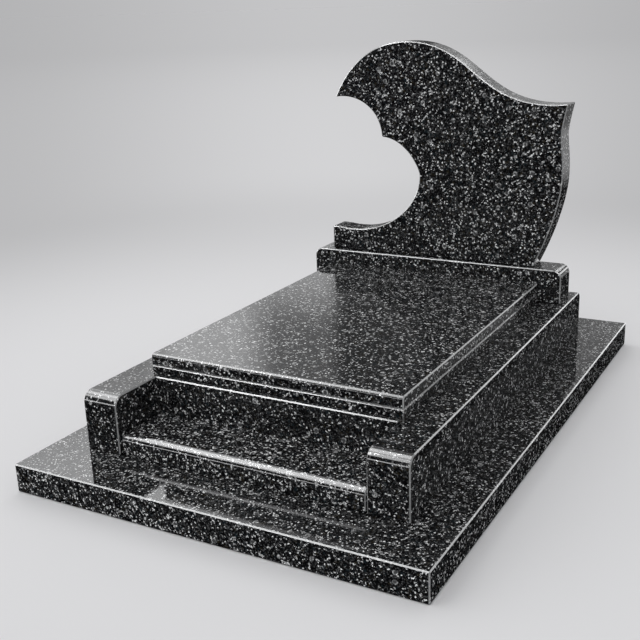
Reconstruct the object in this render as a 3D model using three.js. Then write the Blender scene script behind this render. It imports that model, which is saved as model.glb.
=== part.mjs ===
// A full grave monument in polished dark granite. A wide base slab carries two kerbs,
// a low front step, a riser, a back kerb, a two-board tomb slab, a headstone base and a
// wave-shaped headstone with a crescent cut out of its left side.
// Millimetres, +Z up. X runs across the monument and +Y from its foot to its head.
// The origin is at the centre of the base slab's underside.

import * as THREE from 'three';

// Base slab
const baseSlabWidth = 1400;
const baseSlabLength = 2140;
const baseSlabThickness = 95;

// Side kerbs, which stand on the base slab
const kerbWidth = 130;
const kerbHeight = 195;
const kerbLength = 1690;
const kerbSideMargin = 136;
const kerbFrontMargin = 190;
const kerbFrontRadius = 38;
const kerbBackRadius = 25;

// Front step between the kerbs
const stepHeight = 70;
const stepNoseRadius = 25;
const stepSetback = 6;
const stepEndJoint = 7;

// Riser behind the step, which shows a narrow ledge in front of the tomb slab, and the
// back kerb under the headstone
const riserThickness = 40;
const slabLedge = 8;
const backKerbDepth = 200;
const backKerbSetback = 6;

// Tomb slab: an under board and a cover board with a rounded front edge
const slabSetback = 212;
const slabBearing = 16;
const underSlabThickness = 35;
const coverSlabThickness = 40;
const coverSlabNoseRadius = 12;

// Headstone base, which crosses both kerbs behind the tomb slab
const headBaseJoint = 5;
const headBaseBackMargin = 86;
const headBaseDepth = 125;
const headBaseHeight = 133;
const headBaseEndInset = 24;
const headBaseEndRadius = 32;

// Headstone, flush with the back of its base
const headstoneHeight = 858;
const headstoneThickness = 100;
const headstoneLeftMargin = 77;
const headstoneRightMargin = 120;

// Finish: the flat bevel along every edge, and the thin bed between two stones
const arris = 4;
const bed = 0.3;

// Straight runs in each rounded corner and in each curve of the headstone's outline. Beside
// the outline's sharp tips a run has to stay longer than the bevel takes off it.
const runsInCorner = 10;
const runsInCurve = 14;

// Places across the monument, measured from its centre line
const kerbOuterFace = baseSlabWidth / 2 - kerbSideMargin;
const kerbInnerFace = kerbOuterFace - kerbWidth;
const slabHalfWidth = kerbInnerFace + slabBearing;
const headBaseHalfLength = kerbOuterFace - headBaseEndInset;

// Places along the monument, from front to back
const kerbFront = kerbFrontMargin - baseSlabLength / 2;
const kerbBack = kerbFront + kerbLength;
const stepFront = kerbFront + stepSetback;
const slabFront = kerbFront + slabSetback;
const riserFront = slabFront - slabLedge;
const headBaseBack = kerbBack - headBaseBackMargin;
const headBaseFront = headBaseBack - headBaseDepth;
const slabLength = headBaseFront - headBaseJoint - slabFront;
const backKerbBack = kerbBack - backKerbSetback;

// Heights of the undersides, from the ground up
const kerbFoot = baseSlabThickness + bed;
const kerbTop = kerbFoot + kerbHeight;
const underSlabFoot = kerbTop + bed;
const coverSlabFoot = underSlabFoot + underSlabThickness + bed;
const headBaseFoot = kerbTop + bed;
const headstoneFoot = headBaseFoot + headBaseHeight + bed;

// A rectangle seen from above, with its four corners cut by the arris
function planRectangle(width, length) {
  const plan = new THREE.Shape();
  const x = width / 2;
  plan.moveTo(arris - x, 0);
  plan.lineTo(x - arris, 0);
  plan.lineTo(x, arris);
  plan.lineTo(x, length - arris);
  plan.lineTo(x - arris, length);
  plan.lineTo(arris - x, length);
  plan.lineTo(-x, length - arris);
  plan.lineTo(-x, arris);
  plan.closePath();
  return plan;
}

// A rectangle seen from the side, drawn from its front foot. Its two upper corners are
// rounded by the radii given, or cut by the arris where the radius is zero.
function sideProfile(run, height, frontRadius, backRadius) {
  const profile = new THREE.Shape();
  profile.moveTo(arris, 0);
  profile.lineTo(run - arris, 0);
  profile.lineTo(run, arris);
  if (backRadius > 0) {
    profile.absarc(run - backRadius, height - backRadius, backRadius, 0, Math.PI / 2);
  } else {
    profile.lineTo(run, height - arris);
    profile.lineTo(run - arris, height);
  }
  if (frontRadius > 0) {
    profile.absarc(frontRadius, height - frontRadius, frontRadius, Math.PI / 2, Math.PI);
  } else {
    profile.lineTo(arris, height);
    profile.lineTo(0, height - arris);
  }
  profile.lineTo(0, arris);
  profile.closePath();
  return profile;
}

// The headstone seen from the front, drawn from its left foot. The outline is a free form,
// so its points and curve handles are shares of the foot's length and of the height.
function headstoneOutline(footLength) {
  const at = (across, up) => new THREE.Vector2(across * footLength, up * headstoneHeight);
  const rightFoot = at(1, 0);
  const belly = at(1.117, 0.425);
  const waist = at(1.106, 0.6);
  const rightTip = at(1.128, 0.731);
  const crest = at(0.388, 1);
  const leftTip = at(0.034, 0.748);
  const cusp = at(0.269, 0.565);
  const crescentBack = at(0.456, 0.389);
  const lip = at(0.12, 0.107);
  const shoulder = at(0, 0.113);

  const outline = new THREE.Shape();
  const curveTo = (leaving, arriving, end) => {
    outline.bezierCurveTo(leaving.x, leaving.y, arriving.x, arriving.y, end.x, end.y);
  };
  outline.moveTo(0, 0);
  outline.lineTo(rightFoot.x, rightFoot.y);
  curveTo(at(1.033, 0.07), at(1.117, 0.271), belly);
  curveTo(at(1.117, 0.518), at(1.106, 0.554), waist);
  curveTo(at(1.106, 0.63), at(1.12, 0.694), rightTip);
  curveTo(at(0.718, 0.692), at(0.72, 1), crest);
  curveTo(at(0.184, 1), at(0.073, 0.845), leftTip);
  curveTo(at(0.125, 0.766), at(0.256, 0.716), cusp);
  curveTo(at(0.393, 0.558), at(0.456, 0.418), crescentBack);
  curveTo(at(0.456, 0.237), at(0.295, 0.107), lip);
  curveTo(at(0.052, 0.107), at(0.068, 0.114), shoulder);
  outline.closePath();
  return outline;
}

// A stone of the given depth behind its profile, with a flat bevel round both ends
function dressedStone(profile, depth, curveSegments) {
  const geometry = new THREE.ExtrudeGeometry(profile, {
    depth: depth - 2 * arris,
    bevelEnabled: true,
    bevelThickness: arris,
    bevelSize: arris,
    bevelOffset: -arris,
    bevelSegments: 1,
    curveSegments,
  });
  geometry.translate(0, 0, arris);
  return geometry;
}

function granite() {
  return new THREE.MeshStandardMaterial({ color: 0x2b2c2f, roughness: 0.12, metalness: 0 });
}

function stone(name, geometry, x, y, z) {
  const mesh = new THREE.Mesh(geometry, granite());
  mesh.name = name;
  mesh.position.set(x, y, z);
  return mesh;
}

// A stone whose plan is a rectangle centred on the monument, from its front face back
function boardStone(name, width, length, thickness, y, z) {
  const geometry = dressedStone(planRectangle(width, length), thickness, 1);
  return stone(name, geometry, 0, y, z);
}

// A stone whose side profile runs along Y, extruded across the monument from x
function crossStone(name, profile, width, x, y, z) {
  const mesh = stone(name, dressedStone(profile, width, runsInCorner), x, y, z);
  mesh.rotation.set(Math.PI / 2, Math.PI / 2, 0);
  return mesh;
}

// A stone whose front profile runs along X, extruded forwards from its back face
function frontStone(name, profile, depth, curveSegments, x, backFace, z) {
  const mesh = stone(name, dressedStone(profile, depth, curveSegments), x, backFace, z);
  mesh.rotation.x = Math.PI / 2;
  return mesh;
}

function makeKerbs() {
  const kerbs = new THREE.Group();
  const sides = [['left_kerb', -kerbOuterFace], ['right_kerb', kerbInnerFace]];
  for (const [name, x] of sides) {
    const profile = sideProfile(kerbLength, kerbHeight, kerbFrontRadius, kerbBackRadius);
    kerbs.add(crossStone(name, profile, kerbWidth, x, kerbFront, kerbFoot));
  }
  return kerbs;
}

function makeStep() {
  const halfLength = kerbInnerFace - stepEndJoint;
  const profile = sideProfile(riserFront - bed - stepFront, stepHeight, stepNoseRadius, 0);
  return crossStone('front_step', profile, 2 * halfLength, -halfLength, stepFront, kerbFoot);
}

function makeRiserAndBackKerb() {
  const infill = new THREE.Group();
  const halfLength = kerbInnerFace - bed;
  const riser = sideProfile(riserThickness, kerbHeight, 0, 0);
  infill.add(crossStone('front_riser', riser, 2 * halfLength, -halfLength, riserFront, kerbFoot));
  const back = sideProfile(backKerbDepth, kerbHeight, 0, 0);
  const backKerbFront = backKerbBack - backKerbDepth;
  infill.add(crossStone('back_kerb', back, 2 * halfLength, -halfLength, backKerbFront, kerbFoot));
  return infill;
}

function makeTombSlab() {
  const slab = new THREE.Group();
  const width = 2 * slabHalfWidth;
  slab.add(boardStone('under_slab', width, slabLength, underSlabThickness, slabFront, underSlabFoot));
  const cover = sideProfile(slabLength, coverSlabThickness, coverSlabNoseRadius, 0);
  slab.add(crossStone('cover_slab', cover, width, -slabHalfWidth, slabFront, coverSlabFoot));
  return slab;
}

// The two upper ends of the headstone base are rounded, as seen from the front
function makeHeadstoneBase() {
  const profile = sideProfile(2 * headBaseHalfLength, headBaseHeight, headBaseEndRadius, headBaseEndRadius);
  const x = -headBaseHalfLength;
  return frontStone('headstone_base', profile, headBaseDepth, runsInCorner, x, headBaseBack, headBaseFoot);
}

function makeHeadstone() {
  const x = headstoneLeftMargin - headBaseHalfLength;
  const footLength = 2 * headBaseHalfLength - headstoneLeftMargin - headstoneRightMargin;
  const outline = headstoneOutline(footLength);
  return frontStone('headstone', outline, headstoneThickness, runsInCurve, x, headBaseBack, headstoneFoot);
}

const monument = new THREE.Group();
monument.name = 'grave_monument';
const baseFront = -baseSlabLength / 2;
monument.add(boardStone('base_slab', baseSlabWidth, baseSlabLength, baseSlabThickness, baseFront, 0));
monument.add(makeKerbs());
monument.add(makeStep());
monument.add(makeRiserAndBackKerb());
monument.add(makeTombSlab());
monument.add(makeHeadstoneBase());
monument.add(makeHeadstone());

export default monument;
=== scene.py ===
"""Grave monument in polished dark speckled granite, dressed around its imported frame.

The base slab carries two kerbs, a front step, a riser, a back kerb and a tomb slab of two
boards. A headstone base crosses the kerbs, and a wave-shaped headstone with a crescent cut
out of its left side stands on it. Metres, +Z up, +Y from the foot of the grave to its head.
"""
import logging
import math
from dataclasses import dataclass, field
from enum import Enum
from typing import Callable, Sequence

import bpy
from mathutils import Matrix, Vector


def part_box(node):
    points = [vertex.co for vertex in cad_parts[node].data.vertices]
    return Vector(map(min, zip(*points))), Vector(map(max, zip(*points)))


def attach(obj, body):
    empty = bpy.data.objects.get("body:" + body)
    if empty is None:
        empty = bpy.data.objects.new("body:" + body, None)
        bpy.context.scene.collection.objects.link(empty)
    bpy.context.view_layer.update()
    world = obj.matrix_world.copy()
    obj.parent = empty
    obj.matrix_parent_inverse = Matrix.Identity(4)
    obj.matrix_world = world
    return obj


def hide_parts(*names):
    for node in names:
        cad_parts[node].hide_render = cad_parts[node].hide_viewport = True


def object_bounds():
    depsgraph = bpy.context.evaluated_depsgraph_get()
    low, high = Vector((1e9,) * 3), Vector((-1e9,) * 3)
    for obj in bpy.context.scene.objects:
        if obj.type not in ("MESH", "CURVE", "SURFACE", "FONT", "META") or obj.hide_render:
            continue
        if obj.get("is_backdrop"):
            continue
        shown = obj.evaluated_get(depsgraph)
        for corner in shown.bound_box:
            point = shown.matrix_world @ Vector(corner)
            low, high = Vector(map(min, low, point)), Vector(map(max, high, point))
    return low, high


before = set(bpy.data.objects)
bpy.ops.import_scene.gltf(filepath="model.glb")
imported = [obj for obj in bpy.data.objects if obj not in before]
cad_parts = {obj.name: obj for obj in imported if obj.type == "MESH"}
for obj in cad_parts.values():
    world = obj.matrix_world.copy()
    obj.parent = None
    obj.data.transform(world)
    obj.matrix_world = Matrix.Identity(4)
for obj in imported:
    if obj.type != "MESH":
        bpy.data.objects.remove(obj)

log = logging.getLogger("grave_monument")

Point = tuple[float, float, float]
Colour = tuple[float, float, float, float]
Socket = bpy.types.NodeSocket
Value = bpy.types.NodeSocket | float | Point | Colour

BODY = "root"

# The dressed arrises: the mesh's mask of the highlight and shade painted on them, the slot
# that marks their faces while a stone is modelled, the mask's value on a foot arris, where
# a contact shadow is painted dark with the bedding, and how far down such a face looks
ARRIS_PAINTED_LIGHT = "arris_painted_light"
ARRIS_SLOT = 1
FOOT_ARRIS_SHADE = -1.0
FOOT_NORMAL = -0.5

# Shapes: how close an edge lies to its place in metres, a bevel's round profile, and how
# strongly the large faces set the corner normals
SAME_PLACE = 1e-5
ROUND_PROFILE = 0.5
LARGE_FACE_WEIGHT = 100

# The colour sockets of a Mix node, by their place, and half a turn in degrees
MIX_UNDER = 6
MIX_OVER = 7
MIX_RESULT = 2
HALF_TURN = 180.0


class Edge(Enum):
    """Which edges of a sawn block are rounded before its arrises are dressed."""

    FRONT_TOP = "front top"
    BACK_TOP = "back top"
    LEFT_TOP = "left top"
    RIGHT_TOP = "right top"


class Axis(Enum):
    """The world axes, by their place in a vector."""

    X = 0
    Y = 1
    Z = 2


# Helpers for modelling


def deselect_everything() -> None:
    """Leave no object selected, so that an operator acts on the new piece alone."""
    if bpy.context.object is not None and bpy.context.object.mode != "OBJECT":
        bpy.ops.object.mode_set(mode="OBJECT")
    bpy.ops.object.select_all(action="DESELECT")


def make_active(piece: bpy.types.Object) -> None:
    """Select one object and make it the active one.

    Args:
        piece: The object that the next operators work on.
    """
    deselect_everything()
    piece.select_set(True)
    bpy.context.view_layer.objects.active = piece


def choose_edges(piece: bpy.types.Object, wanted: Callable[[Vector, Vector], bool]) -> int:
    """Select edges of a mesh by the places of their two ends.

    Args:
        piece: The object, which is active and in edit mode.
        wanted: Takes the two ends of an edge and says whether it is chosen.

    Returns:
        How many edges were chosen.
    """
    bpy.ops.mesh.select_mode(type="EDGE")
    bpy.ops.mesh.select_all(action="DESELECT")
    bpy.ops.object.mode_set(mode="OBJECT")
    mesh = piece.data
    count = 0
    for edge in mesh.edges:
        first, second = (mesh.vertices[i].co for i in edge.vertices)
        if wanted(first, second):
            edge.select = True
            count += 1
    bpy.ops.object.mode_set(mode="EDIT")
    return count


def sharp_edges(piece: bpy.types.Object, least_degrees: float) -> int:
    """Select the edges of a mesh whose two faces meet at more than an angle.

    Args:
        piece: The object, which is active and in edit mode.
        least_degrees: The smallest angle between the normals of two faces that counts.

    Returns:
        How many edges were chosen.
    """
    bpy.ops.mesh.select_mode(type="EDGE")
    bpy.ops.mesh.select_all(action="DESELECT")
    bpy.ops.mesh.edges_select_sharp(sharpness=math.radians(least_degrees))
    bpy.ops.object.mode_set(mode="OBJECT")
    count = sum(edge.select for edge in piece.data.edges)
    bpy.ops.object.mode_set(mode="EDIT")
    return count


def smooth_faces(piece: bpy.types.Object, degrees: float) -> None:
    """Shade a mesh smooth except across edges sharper than an angle.

    Args:
        piece: The object to shade.
        degrees: The largest angle that is shaded smooth.
    """
    make_active(piece)
    bpy.ops.object.shade_smooth_by_angle(angle=math.radians(degrees))


def weigh_normals(piece: bpy.types.Object) -> None:
    """Keep the large faces flat and let the small bevel faces carry the curve.

    Args:
        piece: The object whose corner normals are set.
    """
    make_active(piece)
    modifier = piece.modifiers.new("face_weight", "WEIGHTED_NORMAL")
    modifier.keep_sharp = True
    modifier.weight = LARGE_FACE_WEIGHT
    bpy.ops.object.modifier_apply(modifier=modifier.name)


def ready_for_arrises(piece: bpy.types.Object) -> None:
    """Give a mesh empty material slots, so that a bevel can mark its faces with one.

    Args:
        piece: The object, before its arrises are beveled.
    """
    for _ in range(ARRIS_SLOT + 1):
        piece.data.materials.append(None)


def mark_arrises(piece: bpy.types.Object, painted_highlight_share: float, foot_shade_and_bedding: bool) -> None:
    """Turn the faces that the bevel marked into a mask that the finish reads.

    The mask is the share of the painted highlight on an arris, -1 on the foot arris of a
    stone with dark bedding and a painted contact shadow under it, and 0 elsewhere.

    Args:
        piece: The object, in object mode, after its arrises are beveled.
        painted_highlight_share: How strongly a pale highlight is painted on its ground
            arrises.
        foot_shade_and_bedding: Whether dark bedding fills the joint under the stone, with a
            painted contact shadow on its foot arris.
    """
    mesh = piece.data
    mask = mesh.attributes.new(ARRIS_PAINTED_LIGHT, "FLOAT", "FACE")
    marked = []
    # Foot arrises get the painted contact shadow with the bedding, other arrises the painted
    # highlight
    for face in mesh.polygons:
        if face.material_index != ARRIS_SLOT:
            marked.append(0.0)
        elif foot_shade_and_bedding and face.normal.z < FOOT_NORMAL:
            marked.append(FOOT_ARRIS_SHADE)
        else:
            marked.append(painted_highlight_share)
    mask.data.foreach_set("value", marked)
    mesh.polygons.foreach_set("material_index", [0] * len(mesh.polygons))
    mesh.materials.clear()


# Helpers for node trees


@dataclass(frozen=True)
class Fade:
    """A smooth change from one level to another between two limits."""

    start: float
    end: float
    before: float = 0.0
    after: float = 1.0


class NodeWriter:
    """Adds nodes and links to one node tree."""

    def __init__(self, tree: bpy.types.NodeTree) -> None:
        """Remember the tree.

        Args:
            tree: The tree that the nodes go into.
        """
        self.tree = tree

    def node(self, kind: str, **settings: object) -> bpy.types.Node:
        """Add a node and set its plain properties.

        Args:
            kind: The node's type.
            settings: Its properties by name.

        Returns:
            The new node.
        """
        node = self.tree.nodes.new(kind)
        for name, value in settings.items():
            setattr(node, name, value)
        return node

    def feed(self, value: Value, target: Socket) -> None:
        """Lead a socket into an input, or set the input to a plain value.

        Args:
            value: The socket, number, vector or colour.
            target: The input that takes it.
        """
        if isinstance(value, bpy.types.NodeSocket):
            self.tree.links.new(value, target)
        else:
            target.default_value = value

    def math(self, kind: str, *values: Value) -> Socket:
        """Add a Math node.

        Args:
            kind: The operation.
            values: Its inputs, each a socket or a number.

        Returns:
            The output socket.
        """
        node = self.node("ShaderNodeMath", operation=kind)
        for place, value in enumerate(values):
            self.feed(value, node.inputs[place])
        return node.outputs[0]

    def product(self, first: Value, *others: Value) -> Socket:
        """Multiply two values or more.

        Args:
            first: The first value.
            others: What it is multiplied by.

        Returns:
            The product's socket.
        """
        for other in others:
            first = self.math("MULTIPLY", first, other)
        return first

    def vector(self, kind: str, *values: Value) -> bpy.types.Node:
        """Add a Vector Math node.

        Args:
            kind: The operation.
            values: Its inputs, each a socket or a vector.

        Returns:
            The node.
        """
        node = self.node("ShaderNodeVectorMath", operation=kind)
        for place, value in enumerate(values):
            self.feed(value, node.inputs[place])
        return node

    def scaled(self, vector: Value, factor: Value) -> Socket:
        """Scale a vector by a factor.

        Args:
            vector: The vector.
            factor: The factor, as a socket or a number.

        Returns:
            The scaled vector's socket.
        """
        node = self.vector("SCALE", vector)
        self.feed(factor, node.inputs["Scale"])
        return node.outputs["Vector"]

    def fade(self, value: Socket, fade: Fade) -> Socket:
        """Lead a value smoothly from one level to another.

        Args:
            value: The value.
            fade: The limits and the levels.

        Returns:
            The level's socket.
        """
        node = self.node("ShaderNodeMapRange", interpolation_type="SMOOTHSTEP")
        self.feed(value, node.inputs["Value"])
        self.feed(fade.start, node.inputs["From Min"])
        self.feed(fade.end, node.inputs["From Max"])
        self.feed(fade.before, node.inputs["To Min"])
        self.feed(fade.after, node.inputs["To Max"])
        return node.outputs["Result"]

    def raised(self, value: Socket, least: float) -> Socket:
        """Stretch a value from 0 to 1 evenly over the range from its least level to 1.

        Args:
            value: The value.
            least: What 0 becomes.

        Returns:
            The raised value's socket.
        """
        node = self.node("ShaderNodeMapRange", interpolation_type="LINEAR")
        self.feed(value, node.inputs["Value"])
        self.feed(least, node.inputs["To Min"])
        return node.outputs["Result"]

    def blend(self, mask: Socket, under: Value, over: Value) -> Socket:
        """Lay one colour over another where a mask is 1.

        Args:
            mask: The mask.
            under: The colour below.
            over: The colour above.

        Returns:
            The socket of the blended colour.
        """
        node = self.node("ShaderNodeMix", data_type="RGBA")
        self.feed(mask, node.inputs["Factor"])
        self.feed(under, node.inputs[MIX_UNDER])
        self.feed(over, node.inputs[MIX_OVER])
        return node.outputs[MIX_RESULT]

    def azimuth_of(self, direction: Socket) -> Socket:
        """Read the azimuth of a direction, from 0 at the head of the grave to the left.

        Args:
            direction: The direction.

        Returns:
            The socket of the azimuth in degrees.
        """
        split = self.node("ShaderNodeSeparateXYZ")
        self.feed(direction, split.inputs[0])
        leftward = self.product(split.outputs["X"], -1.0)
        return self.math("DEGREES", self.math("ARCTAN2", leftward, split.outputs["Y"]))

    def off_azimuth(self, azimuth: Socket, middle: float) -> Socket:
        """Give how far an azimuth lies from another, left of it above 0.

        Args:
            azimuth: The azimuth in degrees.
            middle: The other azimuth.

        Returns:
            The socket of the difference, between -180 and 180.
        """
        off = self.math("SUBTRACT", azimuth, middle)
        return self.math("WRAP", off, HALF_TURN, -HALF_TURN)


# Finishes


@dataclass(frozen=True)
class GraniteTone:
    """Linear colours of the minerals that make up the granite, and of the highlight painted
    on its ground arrises.
    """

    ground: Colour = (0.0012, 0.0012, 0.0014, 1.0)
    hornblende: Colour = (0.0085, 0.0087, 0.0094, 1.0)
    feldspar: Colour = (0.098, 0.099, 0.102, 1.0)
    quartz: Colour = (0.94, 0.95, 0.96, 1.0)
    blue_spar: Colour = (0.008, 0.013, 0.016, 1.0)
    ochre_spar: Colour = (0.019, 0.016, 0.010, 1.0)
    # The pale colour painted on the arrises as a highlight
    painted_arris_highlight: Colour = (0.44, 0.445, 0.45, 1.0)


@dataclass(frozen=True)
class GrainPattern:
    """How fine each layer of grains is, and which of its cells show.

    The layers are given in cells to a metre. Each cell has random numbers of its own from 0
    to 1, and a fade over one of them picks the cells in which a mineral shows. The fades of
    an eye run over the distance from its middle, as a share of its cell.
    """

    eye_cells: float = 27.0
    coarse_cells: float = 110.0
    middle_cells: float = 165.0
    fine_cells: float = 150.0
    dust_cells: float = 270.0
    warp_waves: float = 110.0
    warp_detail: float = 2.0
    warp_reach: float = 0.007
    hornblende: Fade = Fade(0.30, 0.80)
    blue_spar: Fade = Fade(0.90, 0.93)
    ochre_spar: Fade = Fade(0.94, 0.96)
    feldspar: Fade = Fade(0.82, 1.0)
    feldspar_least: float = 0.2
    speck: Fade = Fade(0.82, 1.0)
    eyes: Fade = Fade(0.80, 0.82)
    ring_inside: Fade = Fade(0.17, 0.23)
    ring_outside: Fade = Fade(0.36, 0.29)
    ring_breaks: Fade = Fade(0.25, 0.75)
    ring_share: float = 0.36
    heart: Fade = Fade(0.33, 0.28)
    heart_share: float = 0.55
    fleck: Fade = Fade(0.0, 0.02)
    fleck_least: float = 0.34
    fleck_core: Fade = Fade(0.34, 0.42)
    hornblende_roughness: float = 0.02


class GrainGroup(NodeWriter):
    """The node group that draws the grains of the granite from a place in the stone."""

    NAME = "granite_grain"
    COLOURS = ("Ground", "Hornblende", "Feldspar", "Quartz", "Blue Spar", "Ochre Spar",
               "Painted Arris Highlight")
    NUMBERS = ("Grain Scale", "Fleck Share", "Arris Painted Light")

    def __init__(self, pattern: GrainPattern) -> None:
        """Build the group once.

        Args:
            pattern: How fine the grains are and which of them show.
        """
        super().__init__(bpy.data.node_groups.new(self.NAME, "ShaderNodeTree"))
        self.pattern = pattern
        self._name_sockets()
        self.given = self.node("NodeGroupInput").outputs
        self._draw_grains()

    def _name_sockets(self) -> None:
        """Name what goes in and what comes out."""
        face = self.tree.interface
        face.new_socket("Place", in_out="INPUT", socket_type="NodeSocketVector")
        for name in self.COLOURS:
            face.new_socket(name, in_out="INPUT", socket_type="NodeSocketColor")
        for name in self.NUMBERS:
            face.new_socket(name, in_out="INPUT", socket_type="NodeSocketFloat")
        face.new_socket("Color", in_out="OUTPUT", socket_type="NodeSocketColor")
        face.new_socket("Roughness", in_out="OUTPUT", socket_type="NodeSocketFloat")
        face.new_socket("Relief", in_out="OUTPUT", socket_type="NodeSocketFloat")

    def _cells(self, place: Socket, cells_per_metre: float) -> bpy.types.Node:
        """Add a layer of Voronoi cells.

        Args:
            place: The place in the stone.
            cells_per_metre: How many cells there are to a metre at a grain scale of 1.

        Returns:
            The texture node.
        """
        node = self.node("ShaderNodeTexVoronoi", feature="F1", distance="EUCLIDEAN")
        self.feed(place, node.inputs["Vector"])
        self.feed(self.product(self.given["Grain Scale"], cells_per_metre),
                  node.inputs["Scale"])
        self.feed(1.0, node.inputs["Randomness"])
        return node

    def _chance(self, cells: bpy.types.Node, channel: str) -> Socket:
        """Read one random number of each cell from its random colour.

        Args:
            cells: The layer of cells.
            channel: Red, Green or Blue.

        Returns:
            A socket with a number from 0 to 1 that is the same all over the cell.
        """
        split = self.node("ShaderNodeSeparateColor")
        self.feed(cells.outputs["Color"], split.inputs[0])
        return split.outputs[channel]

    def _picked(self, cells: bpy.types.Node, channel: str, pick: Fade) -> Socket:
        """Choose cells of a layer by chance.

        Args:
            cells: The layer of cells.
            channel: Which of their random numbers is read: Red, Green or Blue.
            pick: The fade over that number.

        Returns:
            The socket of a mask that is 1 in the chosen cells.
        """
        return self.fade(self._chance(cells, channel), pick)

    def _warped(self) -> Socket:
        """Shift the place in the stone a little, so that the coarse grains are uneven."""
        warp = self.node("ShaderNodeTexNoise", noise_dimensions="3D")
        self.feed(self.given["Place"], warp.inputs["Vector"])
        self.feed(self.product(self.given["Grain Scale"], self.pattern.warp_waves),
                  warp.inputs["Scale"])
        self.feed(self.pattern.warp_detail, warp.inputs["Detail"])
        middle = (0.5, 0.5, 0.5)
        centred = self.vector("SUBTRACT", warp.outputs["Color"], middle).outputs["Vector"]
        shift = self.scaled(centred, self.pattern.warp_reach)
        return self.vector("ADD", self.given["Place"], shift).outputs["Vector"]

    def _draw_grains(self) -> None:
        """Lay the dark and coloured grains, the eyes and the flecks over the ground.

        Then paint a pale highlight on the arrises, and a dark shade with the bedding on the
        foot arrises.
        """
        given, pattern = self.given, self.pattern
        made = self.node("NodeGroupOutput")
        place = given["Place"]
        eye = self._cells(place, pattern.eye_cells)
        coarse = self._cells(self._warped(), pattern.coarse_cells)
        middle = self._cells(place, pattern.middle_cells)
        fine = self._cells(place, pattern.fine_cells)
        dust = self._cells(place, pattern.dust_cells)

        dark = self._picked(middle, "Green", pattern.hornblende)
        colour = self.blend(dark, given["Ground"], given["Hornblende"])
        colour = self.blend(self._picked(coarse, "Blue", pattern.blue_spar), colour,
                            given["Blue Spar"])
        colour = self.blend(self._picked(coarse, "Green", pattern.ochre_spar), colour,
                            given["Ochre Spar"])
        crumbled = self.raised(self._chance(dust, "Blue"), pattern.feldspar_least)
        spar = self.product(self._picked(middle, "Red", pattern.feldspar), crumbled)
        colour = self.blend(spar, colour, given["Feldspar"])
        colour = self.blend(self._picked(dust, "Red", pattern.speck), colour,
                            given["Feldspar"])

        eyes = self._picked(eye, "Red", pattern.eyes)
        from_middle = eye.outputs["Distance"]
        heart = self.product(self.fade(from_middle, pattern.heart), eyes,
                             pattern.heart_share)
        rim = self.product(self.fade(from_middle, pattern.ring_inside),
                           self.fade(from_middle, pattern.ring_outside))
        broken = self._picked(fine, "Green", pattern.ring_breaks)
        ring = self.product(rim, eyes, broken, pattern.ring_share)
        colour = self.blend(heart, colour, given["Feldspar"])
        colour = self.blend(ring, colour, given["Quartz"])

        cut = self.math("SUBTRACT", 1.0, given["Fleck Share"])
        chosen = self.fade(self.math("SUBTRACT", self._chance(fine, "Red"), cut),
                           pattern.fleck)
        shade = self.raised(self._chance(fine, "Blue"), pattern.fleck_least)
        core = self._picked(dust, "Green", pattern.fleck_core)
        colour = self.blend(self.product(shade, chosen, core), colour, given["Quartz"])

        # Painted highlight: the pale arris colour laid over the grains where the mask is
        # above 0
        arris = self.math("MAXIMUM", given["Arris Painted Light"], 0.0)
        colour = self.blend(arris, colour, given["Painted Arris Highlight"])
        # Painted contact shadow with the dark bedding: the ground colour laid on foot arrises
        # where the mask is -1
        foot = self.math("MAXIMUM", self.product(given["Arris Painted Light"], -1.0), 0.0)
        colour = self.blend(foot, colour, given["Ground"])
        self.feed(colour, made.inputs["Color"])
        self.feed(self.product(dark, pattern.hornblende_roughness),
                  made.inputs["Roughness"])
        self.feed(self._chance(middle, "Blue"), made.inputs["Relief"])


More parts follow.
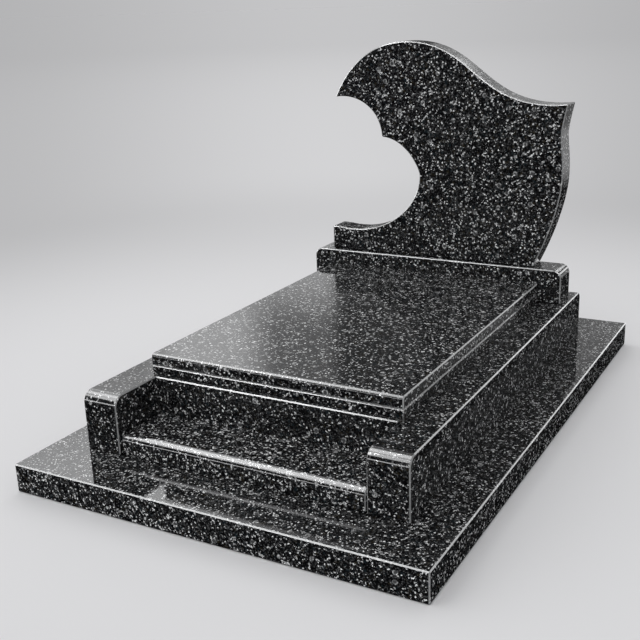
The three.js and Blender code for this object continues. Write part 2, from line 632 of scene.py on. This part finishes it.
@dataclass(frozen=True)
class PolishedGranite:
    """Mirror-polished granite, cut for one stone from its own place in the block."""

    tone: GraniteTone = field(default_factory=GraniteTone)
    base_roughness: float = 0.055
    refraction: float = 1.36
    relief_strength: float = 0.1
    relief_height: float = 0.00002

    def material(self, grain: GrainGroup, stone: str, block_place: Point,
                 grain_scale: float, fleck_share: float) -> bpy.types.Material:
        """Make the material of one stone.

        Args:
            grain: The shared grain group.
            stone: The stone's name.
            block_place: Where in the block the stone was cut, in metres.
            grain_scale: How much finer its grains are than the group's own.
            fleck_share: The share of its grains that are pale flecks.

        Returns:
            The new material.
        """
        material = bpy.data.materials.new("granite_" + stone)
        material.use_nodes = True
        material.node_tree.nodes.clear()
        writer = NodeWriter(material.node_tree)
        output = writer.node("ShaderNodeOutputMaterial")
        shader = writer.node("ShaderNodeBsdfPrincipled")
        writer.feed(shader.outputs["BSDF"], output.inputs["Surface"])
        coordinates = writer.node("ShaderNodeTexCoord")
        mapping = writer.node("ShaderNodeMapping")
        writer.feed(block_place, mapping.inputs["Location"])
        writer.feed(coordinates.outputs["Object"], mapping.inputs["Vector"])
        mask = writer.node("ShaderNodeAttribute", attribute_name=ARRIS_PAINTED_LIGHT)
        group = writer.node("ShaderNodeGroup", node_tree=grain.tree)
        tone = self.tone
        for socket, value in (
            ("Place", mapping.outputs["Vector"]),
            ("Ground", tone.ground),
            ("Hornblende", tone.hornblende),
            ("Feldspar", tone.feldspar),
            ("Quartz", tone.quartz),
            ("Blue Spar", tone.blue_spar),
            ("Ochre Spar", tone.ochre_spar),
            # The painted arris highlight, and below it the mask that lays it and the painted
            # foot shade
            ("Painted Arris Highlight", tone.painted_arris_highlight),
            ("Grain Scale", grain_scale),
            ("Fleck Share", fleck_share),
            ("Arris Painted Light", mask.outputs["Fac"]),
        ):
            writer.feed(value, group.inputs[socket])
        rough = writer.math("ADD", group.outputs["Roughness"], self.base_roughness)
        bump = writer.node("ShaderNodeBump")
        writer.feed(self.relief_strength, bump.inputs["Strength"])
        writer.feed(self.relief_height, bump.inputs["Distance"])
        writer.feed(group.outputs["Relief"], bump.inputs["Height"])
        writer.feed(group.outputs["Color"], shader.inputs["Base Color"])
        writer.feed(rough, shader.inputs["Roughness"])
        writer.feed(bump.outputs["Normal"], shader.inputs["Normal"])
        writer.feed(self.refraction, shader.inputs["IOR"])
        return material


# Stones


@dataclass
class GraniteStone:
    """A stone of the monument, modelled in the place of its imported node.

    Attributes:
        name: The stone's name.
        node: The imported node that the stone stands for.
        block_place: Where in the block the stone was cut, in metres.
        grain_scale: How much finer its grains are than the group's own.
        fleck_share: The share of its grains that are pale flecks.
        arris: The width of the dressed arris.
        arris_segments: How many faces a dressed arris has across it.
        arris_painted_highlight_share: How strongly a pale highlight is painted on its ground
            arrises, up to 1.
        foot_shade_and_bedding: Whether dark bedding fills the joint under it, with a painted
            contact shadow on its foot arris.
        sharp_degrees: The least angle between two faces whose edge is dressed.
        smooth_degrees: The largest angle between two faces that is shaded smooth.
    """

    name: str
    node: str
    block_place: Point = (0.0, 0.0, 0.0)
    grain_scale: float = 1.2
    fleck_share: float = 0.14
    arris: float = 0.0036
    arris_segments: int = 1
    # How strongly the arris highlight is painted, and whether the foot arris is painted dark
    arris_painted_highlight_share: float = 0.6
    foot_shade_and_bedding: bool = True
    sharp_degrees: float = 40.0
    smooth_degrees: float = 30.0

    def cut(self) -> bpy.types.Object:
        """Cut the stone to its form, with its arrises still sharp.

        Returns:
            The mesh object, in edit mode.
        """
        raise NotImplementedError

    def build(self) -> bpy.types.Object:
        """Cut the stone and dress every arris that is still sharp.

        Returns:
            The finished mesh object.
        """
        stone = self.cut()
        ready_for_arrises(stone)
        sharp_edges(stone, self.sharp_degrees)
        bpy.ops.mesh.bevel(offset=self.arris, segments=self.arris_segments,
                           profile=ROUND_PROFILE, affect="EDGES", clamp_overlap=False,
                           material=ARRIS_SLOT, miter_outer="SHARP")
        bpy.ops.object.mode_set(mode="OBJECT")
        # Paint the highlight on the arrises, and the contact shadow with the bedding on the
        # foot arrises
        mark_arrises(stone, self.arris_painted_highlight_share, self.foot_shade_and_bedding)
        smooth_faces(stone, self.smooth_degrees)
        weigh_normals(stone)
        return stone


@dataclass
class DressedBlock(GraniteStone):
    """A sawn block with some upper edges rounded.

    Attributes:
        roundings: The radius of each rounded upper edge, in metres.
        rounding_segments: How many faces a rounded edge has across it.
    """

    roundings: dict[Edge, float] = field(default_factory=dict)
    rounding_segments: int = 20

    def cut(self) -> bpy.types.Object:
        """Saw the block to its node's box and round its edges.

        Returns:
            The mesh object, in edit mode.
        """
        low, high = (Vector(corner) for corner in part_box(self.node))
        deselect_everything()
        bpy.ops.mesh.primitive_cube_add(size=1.0, location=(low + high) / 2)
        stone = bpy.context.object
        stone.name = self.name
        stone.data.name = self.name
        stone.scale = high - low
        bpy.ops.object.transform_apply(location=True, rotation=True, scale=True)
        bpy.ops.object.mode_set(mode="EDIT")
        for edge, radius in self.roundings.items():
            self._round(stone, edge, radius, low, high)
        return stone

    def _round(self, stone: bpy.types.Object, edge: Edge, radius: float,
               low: Vector, high: Vector) -> None:
        """Round one upper edge.

        Args:
            stone: The block, in edit mode.
            edge: Which edge it is.
            radius: Its radius.
            low: The block's lowest corner.
            high: The block's highest corner.
        """
        axis, side = {
            Edge.FRONT_TOP: (Axis.Y, low),
            Edge.BACK_TOP: (Axis.Y, high),
            Edge.LEFT_TOP: (Axis.X, low),
            Edge.RIGHT_TOP: (Axis.X, high),
        }[edge]
        place = side[axis.value]
        top = high[Axis.Z.value]

        def on_edge(first: Vector, second: Vector) -> bool:
            """Tell whether both ends lie on the wanted side and on the top."""
            return all(
                abs(end[axis.value] - place) < SAME_PLACE
                and abs(end[Axis.Z.value] - top) < SAME_PLACE
                for end in (first, second)
            )

        choose_edges(stone, on_edge)
        bpy.ops.mesh.bevel(offset=radius, segments=self.rounding_segments,
                           profile=ROUND_PROFILE, affect="EDGES")


@dataclass
class WaveHeadstone(GraniteStone):
    """The headstone: a wave-shaped outline with a crescent on its left, cut from a slab.

    The outline's points and handles are shares of the foot's length and of the height.

    Attributes:
        foot_left: Where the left end of its foot lies across the monument.
        foot_length: How long its foot is.
        height: How high the crest stands above the foot.
        curve_steps: How many straight runs make up each curve of the outline.
        corner_clearance: How far beside a sharp corner the outline has no other point.
        corner_degrees: The least turn of the outline that counts as a sharp corner.
        doubles_reach: How close two points of the outline lie that are merged.
        start_radius: The radius of the circle that is drawn into the outline.
    """

    name: str = "wave_headstone"
    node: str = "headstone"
    block_place: Point = (4.1, 2.3, 0.9)
    grain_scale: float = 1.15
    sharp_degrees: float = 30.0
    smooth_degrees: float = 28.0
    foot_left: float = -0.463
    foot_length: float = 0.883
    height: float = 0.858
    curve_steps: int = 40
    corner_clearance: float = 0.011
    corner_degrees: float = 28.0
    doubles_reach: float = 0.00002
    start_radius: float = 0.4

    def _outline(self) -> list[tuple[Point, Point, Point]]:
        """List the outline's points with their two handles, from the left foot round.

        Returns:
            For each point its arriving handle, its place and its leaving handle.
        """
        low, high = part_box(self.node)
        foot, back = low[2], high[1]

        def at(across: float, up: float) -> Point:
            """Give the place of a share of the foot's length and of the height."""
            return (self.foot_left + across * self.foot_length, back, foot + up * self.height)

        left_foot, right_foot = at(0.0, 0.0), at(1.0, 0.0)
        shoulder = at(0.0, 0.113)
        return [
            (left_foot, left_foot, left_foot),
            (right_foot, right_foot, at(1.033, 0.07)),
            (at(1.117, 0.271), at(1.117, 0.425), at(1.117, 0.518)),
            (at(1.106, 0.554), at(1.106, 0.6), at(1.106, 0.63)),
            (at(1.12, 0.694), at(1.128, 0.731), at(0.718, 0.692)),
            (at(0.72, 1.0), at(0.388, 1.0), at(0.184, 1.0)),
            (at(0.073, 0.845), at(0.034, 0.748), at(0.125, 0.766)),
            (at(0.256, 0.716), at(0.269, 0.565), at(0.393, 0.558)),
            (at(0.456, 0.418), at(0.456, 0.389), at(0.456, 0.237)),
            (at(0.295, 0.107), at(0.12, 0.107), at(0.052, 0.107)),
            (at(0.068, 0.114), shoulder, shoulder),
        ]

    def cut(self) -> bpy.types.Object:
        """Fill a closed curve and draw it forwards from the stone's back face.

        Returns:
            The mesh object, in edit mode.
        """
        low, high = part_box(self.node)
        thickness = high[1] - low[1]
        deselect_everything()
        bpy.ops.curve.primitive_bezier_circle_add(radius=self.start_radius)
        stone = bpy.context.object
        stone.name = self.name
        spline = stone.data.splines[0]
        outline = self._outline()
        spline.bezier_points.add(len(outline) - len(spline.bezier_points))
        for point, (arriving, place, leaving) in zip(spline.bezier_points, outline):
            point.handle_left_type = point.handle_right_type = "FREE"
            point.co = place
            point.handle_left = arriving
            point.handle_right = leaving
        stone.data.resolution_u = self.curve_steps
        bpy.ops.object.convert(target="MESH")
        stone.data.name = self.name
        bpy.ops.object.mode_set(mode="EDIT")
        bpy.ops.mesh.select_all(action="SELECT")
        bpy.ops.mesh.remove_doubles(threshold=self.doubles_reach)
        self._clear_corners(stone)
        bpy.ops.mesh.select_all(action="SELECT")
        bpy.ops.mesh.edge_face_add()
        bpy.ops.mesh.extrude_region_move(
            TRANSFORM_OT_translate={"value": (0.0, -thickness, 0.0)})
        bpy.ops.mesh.select_all(action="SELECT")
        bpy.ops.mesh.normals_make_consistent(inside=False)
        return stone

    def _clear_corners(self, stone: bpy.types.Object) -> None:
        """Dissolve the outline's points close beside its sharp corners.

        Args:
            stone: The outline as a wire mesh, in edit mode.
        """
        bpy.ops.mesh.select_mode(type="VERT")
        bpy.ops.mesh.select_all(action="DESELECT")
        bpy.ops.object.mode_set(mode="OBJECT")
        mesh = stone.data
        beside = {vertex.index: [] for vertex in mesh.vertices}
        for edge in mesh.edges:
            first, second = edge.vertices
            beside[first].append(second)
            beside[second].append(first)
        corners = []
        for index, (before, after) in beside.items():
            place = mesh.vertices[index].co
            arriving = place - mesh.vertices[before].co
            leaving = mesh.vertices[after].co - place
            if arriving.angle(leaving) > math.radians(self.corner_degrees):
                corners.append(index)
        for vertex in mesh.vertices:
            near = any((vertex.co - mesh.vertices[corner].co).length < self.corner_clearance
                       for corner in corners)
            vertex.select = near and vertex.index not in corners
        bpy.ops.object.mode_set(mode="EDIT")
        bpy.ops.mesh.dissolve_verts()


# Sub-assemblies


@dataclass
class StoneSet:
    """Stones that belong together, each dressed in granite from its own place."""

    grain: GrainGroup
    finish: PolishedGranite = field(default_factory=PolishedGranite)

    def stones(self) -> Sequence[GraniteStone]:
        """List the stones of the set."""
        return []

    def place(self) -> None:
        """Build and dress every stone of the set, hide the node it stands for and attach it
        to the body.
        """
        for stone in self.stones():
            piece = stone.build()
            piece.data.materials.append(
                self.finish.material(self.grain, stone.name, stone.block_place,
                                     stone.grain_scale, stone.fleck_share))
            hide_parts(stone.node)
            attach(piece, BODY)
            faces = len(piece.data.polygons)
            log.info("%s: %d faces, for %s", piece.name, faces, stone.node)


@dataclass
class Surround(StoneSet):
    """The base slab, the two side kerbs, the front step, the riser and the back kerb."""

    kerb_front_radius: float = 0.038
    kerb_back_radius: float = 0.025
    step_nose_radius: float = 0.025

    def stones(self) -> Sequence[GraniteStone]:
        """List the stones of the surround."""
        kerb = {Edge.FRONT_TOP: self.kerb_front_radius, Edge.BACK_TOP: self.kerb_back_radius}
        return [
            DressedBlock("granite_base_slab", "base_slab", block_place=(0.0, 0.0, 0.0),
                         grain_scale=1.4),
            DressedBlock("granite_left_kerb", "left_kerb", roundings=dict(kerb),
                         block_place=(1.7, 0.4, 3.1), grain_scale=1.3, fleck_share=0.11),
            DressedBlock("granite_right_kerb", "right_kerb", roundings=dict(kerb),
                         block_place=(-2.2, 1.3, 0.7), grain_scale=1.3, fleck_share=0.11),
            DressedBlock("granite_front_step", "front_step",
                         roundings={Edge.FRONT_TOP: self.step_nose_radius},
                         block_place=(0.9, -3.0, 1.6), fleck_share=0.19),
            DressedBlock("granite_front_riser", "front_riser", block_place=(5.2, 0.3, -1.4),
                         fleck_share=0.11),
            DressedBlock("granite_back_kerb", "back_kerb", block_place=(-1.1, 6.0, 2.5)),
        ]


@dataclass
class TombSlab(StoneSet):
    """The two boards that cover the grave."""

    cover_nose_radius: float = 0.012

    def stones(self) -> Sequence[GraniteStone]:
        """List the under board and the cover board."""
        return [
            # The cover board's arrises get a brighter painted highlight than the under
            # board's; neither gets a painted foot shade
            DressedBlock("granite_under_slab", "under_slab", block_place=(3.3, 0.8, -2.0),
                         arris_painted_highlight_share=0.25, foot_shade_and_bedding=False),
            DressedBlock("granite_cover_slab", "cover_slab",
                         roundings={Edge.FRONT_TOP: self.cover_nose_radius},
                         block_place=(-0.6, -2.4, 4.4), arris_painted_highlight_share=0.9, foot_shade_and_bedding=False),
        ]


@dataclass
class Memorial(StoneSet):
    """The headstone and the base that it stands on."""

    base_end_radius: float = 0.032

    def stones(self) -> Sequence[GraniteStone]:
        """List the headstone base and the headstone."""
        ends = {Edge.LEFT_TOP: self.base_end_radius, Edge.RIGHT_TOP: self.base_end_radius}
        return [
            DressedBlock("granite_headstone_base", "headstone_base", roundings=ends,
                         block_place=(2.8, -4.2, 0.2)),
            WaveHeadstone(),
        ]


# Studio


@dataclass(frozen=True)
class GlossCard:
    """A soft-edged card of light that only the polish mirrors.

    Angles are in degrees. An azimuth of 0 lies towards the head of the grave, and it grows
    towards the left. The card is full inside its half sizes and fades out over its edge.
    A leaning card's elevation changes by its lean with each degree of azimuth.
    """

    name: str
    azimuth: float
    elevation: float
    half_width: float
    half_height: float
    side_edge: float
    upright_edge: float
    strength: float
    lean: float = 0.0


class SkyNodes(NodeWriter):
    """Builds the nodes of the surroundings, which are the same from every viewpoint."""

    def __init__(self, tree: bpy.types.NodeTree) -> None:
        """Read the direction of a ray as an azimuth and an elevation in degrees.

        Args:
            tree: The world's node tree.
        """
        super().__init__(tree)
        direction = self.node("ShaderNodeTexCoord").outputs["Generated"]
        split = self.node("ShaderNodeSeparateXYZ")
        self.feed(direction, split.inputs[0])
        self.leftward = self.product(split.outputs["X"], -1.0)
        self.azimuth = self.azimuth_of(direction)
        self.elevation = self.math("DEGREES", self.math("ARCSINE", split.outputs["Z"]))
        self.path = self.node("ShaderNodeLightPath")

    def card(self, card: GlossCard) -> Socket:
        """Add the light of one card.

        Args:
            card: The card.

        Returns:
            The socket of its light.
        """
        aside = self.off_azimuth(self.azimuth, card.azimuth)
        middle = self.math("ADD", self.product(aside, card.lean), card.elevation)
        off_height = self.math("ABSOLUTE", self.math("SUBTRACT", self.elevation, middle))
        side_end = card.half_width + card.side_edge
        side = self.fade(self.math("ABSOLUTE", aside),
                         Fade(card.half_width, side_end, 1.0, 0.0))
        upright_end = card.half_height + card.upright_edge
        upright = self.fade(off_height, Fade(card.half_height, upright_end, 1.0, 0.0))
        return self.product(side, upright, card.strength)

    def background(self, colour: Value, strength: Value) -> Socket:
        """Add a Background shader.

        Args:
            colour: Its colour.
            strength: Its strength.

        Returns:
            The shader's socket.
        """
        node = self.node("ShaderNodeBackground")
        self.feed(colour, node.inputs["Color"])
        self.feed(strength, node.inputs["Strength"])
        return node.outputs["Background"]

    def for_rays(self, kind: str, others: Socket, these: Socket) -> Socket:
        """Show one shader to rays of a kind and another to all others.

        Args:
            kind: The Light Path output that tells the kind.
            others: The shader for all other rays.
            these: The shader for rays of the kind.

        Returns:
            The socket of the choice.
        """
        node = self.node("ShaderNodeMixShader")
        self.feed(self.path.outputs[kind], node.inputs["Fac"])
        self.feed(others, node.inputs[1])
        self.feed(these, node.inputs[2])
        return node.outputs["Shader"]


@dataclass(frozen=True)
class MirroredRoom:
    """The dim room that the polish mirrors, in levels of light by degrees of direction.

    Attributes:
        tint: The colour of its light.
        wall: How the light rises with the elevation from the floor to the wall.
        ceiling: What is added to it from the wall up to the ceiling.
        front: How it falls off from the head of the grave round to the foot.
        left_of_gap: How it comes back at the left of the dark gap behind the monument.
        right_of_gap: How it goes down at the right of the gap.
        right: How it falls off at the right of the monument.
    """

    tint: Colour = (0.985, 0.99, 1.0, 1.0)
    wall: Fade = Fade(-18.0, -4.0, 0.03, 0.45)
    ceiling: Fade = Fade(10.0, 40.0, 0.0, 0.25)
    front: Fade = Fade(80.0, 110.0, 1.0, 0.08)
    left_of_gap: Fade = Fade(28.0, 29.4, 0.20, 1.0)
    right_of_gap: Fade = Fade(17.0, 21.0, 1.0, 0.0)
    right: Fade = Fade(-12.0, -2.0, 0.12, 1.0)

    def light(self, sky: SkyNodes) -> Socket:
        """Add the light of the room without its cards.

        Args:
            sky: Adds the nodes.

        Returns:
            The socket of the light.
        """
        upright = sky.math("ADD", sky.fade(sky.elevation, self.wall),
                           sky.fade(sky.elevation, self.ceiling))
        front = sky.fade(sky.math("ABSOLUTE", sky.azimuth), self.front)
        beside_gap = sky.math("MAXIMUM", sky.fade(sky.azimuth, self.left_of_gap),
                              sky.fade(sky.azimuth, self.right_of_gap))
        return sky.product(upright, front, beside_gap, sky.fade(sky.azimuth, self.right))


@dataclass
class Studio:
    """The pale floor, the soft even light, the cards in the polish and the camera.

    Lengths are in metres and angles in degrees.

    Attributes:
        room: The dim room in the polish.
        floor_size: The length of the floor's sides.
        floor_roughness: How matt the floor is.
        floor_near: Its colour under the monument, paler there as a painted pool of light.
        floor_tint: The tint of its grey farther off.
        floor_far: The brightness of that grey, darker farther off as painted shade.
        pool: How one gives way to the other away from the monument, as the painted light
            falls off.
        glow_foot: The place from which the glow painted behind the monument spreads.
        glow_azimuth: Its direction.
        glow_reach: How far it spreads to each side.
        glow_close: Where the nearer part of the far floor, which is lifted with painted
            light, gives way.
        glow_begun: Where the glow sets in.
        glow_far: How bright the glow is all over.
        glow_near: What the nearer part adds to it.
        glow_lift: How much the nearer part is lifted outside the glow.
        white: The colour of the even light.
        even_light: Its strength.
        left_share: How much of it is moved from the right to the left.
        camera_place: Where the camera stands.
        camera_turn: How far it is turned to the left.
        camera_dip: How far it looks down.
        camera_roll: How far it is rolled.
        focal_pixels: Its focal length in pixels of the picture.
        picture_pixels: The width of the picture.
        sensor: The width of its sensor in millimetres.
    """

    room: MirroredRoom = field(default_factory=MirroredRoom)
    floor_size: float = 900.0
    floor_roughness: float = 0.9
    # The floor's colours carry painted light: paler under the monument, darker farther off,
    # with a painted glow behind it
    floor_near: Colour = (0.80, 0.80, 0.815, 1.0)
    floor_tint: Point = (1.0, 1.0, 1.018)
    floor_far: float = 0.50
    pool: Fade = Fade(1.2, 4.2)
    glow_foot: Point = (1.5, -3.0, 0.0)
    glow_azimuth: float = 28.0
    glow_reach: float = 22.0
    glow_close: Fade = Fade(8.0, 40.0, 1.0, 0.0)
    glow_begun: Fade = Fade(4.0, 9.0)
    glow_far: float = 0.12
    glow_near: float = 0.06
    glow_lift: float = 0.045
    white: Colour = (1.0, 1.0, 1.0, 1.0)
    even_light: float = 0.90
    left_share: float = 0.5
    camera_place: Point = (1.5151, -3.0099, 1.4279)
    camera_turn: float = 29.551
    camera_dip: float = 17.846
    camera_roll: float = -2.0
    focal_pixels: float = 977.66
    picture_pixels: float = 640.0
    sensor: float = 36.0

    def build(self) -> None:
        """Set up the whole studio."""
        self._floor()
        self._surroundings()
        self._camera()
        bpy.context.scene.view_settings.view_transform = "Standard"

    def _cards(self) -> Sequence[GlossCard]:
        """List the cards of light that the polish mirrors."""
        return [
            GlossCard("overhead", 98.0, 60.0, 12.0, 5.0, 44.0, 16.0, 22.0),
            GlossCard("front_high", 136.0, 45.0, 16.0, 8.0, 8.0, 5.0, 15.0),
            GlossCard("zenith", 0.0, 85.0, 180.0, 6.0, 1.0, 7.0, 14.0),
            GlossCard("left_curve", 73.0, 20.5, 9.0, 3.0, 2.0, 2.2, 7.0, lean=2.2),
            GlossCard("crescent_curve", 83.0, 22.7, 11.0, 3.0, 2.0, 2.2, 7.0, lean=1.95),
            GlossCard("front_right", -124.0, 58.0, 24.0, 14.0, 10.0, 6.0, 20.0),
            GlossCard("front_strip", 150.0, 6.0, 28.0, 2.0, 8.0, 3.0, 16.0),
            GlossCard("back_right", -27.0, 17.35, 9.0, 5.25, 4.0, 0.8, 5.0, lean=-0.8),
            GlossCard("slab_right", -25.0, 22.2, 8.0, 0.7, 4.0, 0.5, 2.4, lean=-0.8),
            GlossCard("back_high", 0.0, 23.4, 5.0, 1.6, 3.0, 0.8, 9.0),
            GlossCard("base_end", -7.0, 20.0, 2.6, 1.4, 3.0, 1.2, 2.6),
            GlossCard("back_low", -20.0, -4.0, 8.0, 4.0, 6.0, 6.0, 0.75),
            GlossCard("headstone_back", 3.0, 18.0, 8.0, 4.0, 4.0, 4.0, 0.15),
            GlossCard("left_glow", 50.0, 37.0, 8.0, 6.0, 12.0, 15.0, 3.6),
            GlossCard("slab_glow", 36.5, 20.5, 1.5, 2.0, 3.0, 3.5, 1.3),
            GlossCard("slab_back", 36.0, 13.0, 7.0, 2.5, 1.0, 3.0, 0.7),
            GlossCard("low_right", -109.5, -32.0, 5.0, 16.0, 3.0, 5.0, 0.8),
            GlossCard("room_right", -135.0, 30.0, 28.0, 12.0, 24.0, 14.0, 1.1),
        ]

    def _floor(self) -> None:
        """Lay the pale floor, with a painted pool of light under the monument.

        It is a little darker away from the monument, with a painted glow behind it.
        """
        deselect_everything()
        bpy.ops.mesh.primitive_plane_add(size=self.floor_size, location=(0.0, 0.0, 0.0))
        floor = bpy.context.object
        floor.name = "studio_floor"
        material = bpy.data.materials.new("studio_floor")
        material.use_nodes = True
        shader = material.node_tree.nodes["Principled BSDF"]
        writer = NodeWriter(material.node_tree)
        writer.feed(self.floor_roughness, shader.inputs["Roughness"])
        writer.feed(0.0, shader.inputs["Specular IOR Level"])
        place = writer.node("ShaderNodeTexCoord").outputs["Object"]
        reach = writer.vector("LENGTH", place).outputs["Value"]
        away = writer.vector("SUBTRACT", place, self.glow_foot).outputs["Vector"]
        distance = writer.vector("LENGTH", away).outputs["Value"]
        # Painted light on the floor: paler under the monument, darker farther off, with a
        # glow behind it
        far_level = self._far_level(writer, writer.azimuth_of(away),
                                    writer.fade(distance, self.glow_close),
                                    writer.fade(distance, self.glow_begun))
        tone = writer.blend(writer.fade(reach, self.pool), self.floor_near,
                            writer.scaled(self.floor_tint, far_level))
        writer.feed(tone, shader.inputs["Base Color"])
        floor.data.materials.append(material)
        floor.visible_glossy = False
        floor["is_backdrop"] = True

    def _far_level(self, writer: NodeWriter, azimuth: Socket,
                   close: Value, begun: Value) -> Socket:
        """Give the brightness of the far floor, with a soft glow behind the monument.

        On the floor these levels and the glow are painted light; the backdrop shows the same
        levels.

        Args:
            writer: Adds the nodes.
            azimuth: The azimuth seen from the foot of the glow.
            close: 1 on the nearer part of the far floor and 0 beyond it.
            begun: 0 at the foot of the glow and 1 where the glow is full.

        Returns:
            The brightness's socket.
        """
        off = writer.math("ABSOLUTE", writer.off_azimuth(azimuth, self.glow_azimuth))
        sideways = writer.fade(off, Fade(0.0, self.glow_reach, 1.0, 0.0))
        glow = writer.product(sideways, begun)
        level = writer.math("ADD", writer.product(glow, self.glow_far), self.floor_far)
        nearer = writer.math("ADD", writer.product(glow, self.glow_near), self.glow_lift)
        return writer.math("ADD", level, writer.product(nearer, close))

    def _surroundings(self) -> None:
        """Light the studio evenly, and give the polish its cards and dim walls to mirror."""
        world = bpy.data.worlds.new("studio_surroundings")
        world.use_nodes = True
        world.node_tree.nodes.clear()
        sky = SkyNodes(world.node_tree)
        from_left = sky.math("MULTIPLY_ADD", sky.leftward, self.even_light * self.left_share,
                             self.even_light)
        even = sky.background(self.white, from_left)
        light = self.room.light(sky)
        for card in self._cards():
            light = sky.math("ADD", light, sky.card(card))
            log.info("card %s", card.name)
        mirrored = sky.background(self.room.tint, light)
        far_level = self._far_level(sky, sky.azimuth, 0.0, 1.0)
        horizon = sky.background(sky.scaled(self.floor_tint, far_level), self.even_light)
        seen = sky.for_rays("Is Camera Ray", even, horizon)
        choice = sky.for_rays("Is Glossy Ray", seen, mirrored)
        output = sky.node("ShaderNodeOutputWorld")
        sky.feed(choice, output.inputs["Surface"])
        bpy.context.scene.world = world

    def _camera(self) -> None:
        """Stand the camera where the photograph was taken."""
        turn, dip, roll = (math.radians(angle) for angle in
                           (self.camera_turn, self.camera_dip, self.camera_roll))
        right = Vector((math.cos(turn), math.sin(turn), 0.0))
        ahead = Vector((-math.sin(turn) * math.cos(dip), math.cos(turn) * math.cos(dip),
                        -math.sin(dip)))
        up = right.cross(ahead)
        rolled_right = math.cos(roll) * right + math.sin(roll) * up
        rolled_up = -math.sin(roll) * right + math.cos(roll) * up
        data = bpy.data.cameras.new("studio_camera")
        data.sensor_width = self.sensor
        data.lens = self.focal_pixels * self.sensor / self.picture_pixels
        data.clip_end = self.floor_size
        camera = bpy.data.objects.new("studio_camera", data)
        pose = Matrix((rolled_right, rolled_up, -ahead)).transposed().to_4x4()
        pose.translation = self.camera_place
        camera.matrix_world = pose
        bpy.context.collection.objects.link(camera)
        bpy.context.scene.camera = camera


def main(frame_box: Sequence[Sequence[float]]) -> None:
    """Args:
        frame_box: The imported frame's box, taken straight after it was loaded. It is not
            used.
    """
    logging.basicConfig(level=logging.INFO, format="%(name)s %(message)s")
    grain = GrainGroup(GrainPattern())
    for stone_set in (Surround(grain), TombSlab(grain), Memorial(grain)):
        stone_set.place()
        log.info("%s is in place", type(stone_set).__name__)
    Studio().build()


if __name__ == "__main__":
    main(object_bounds())
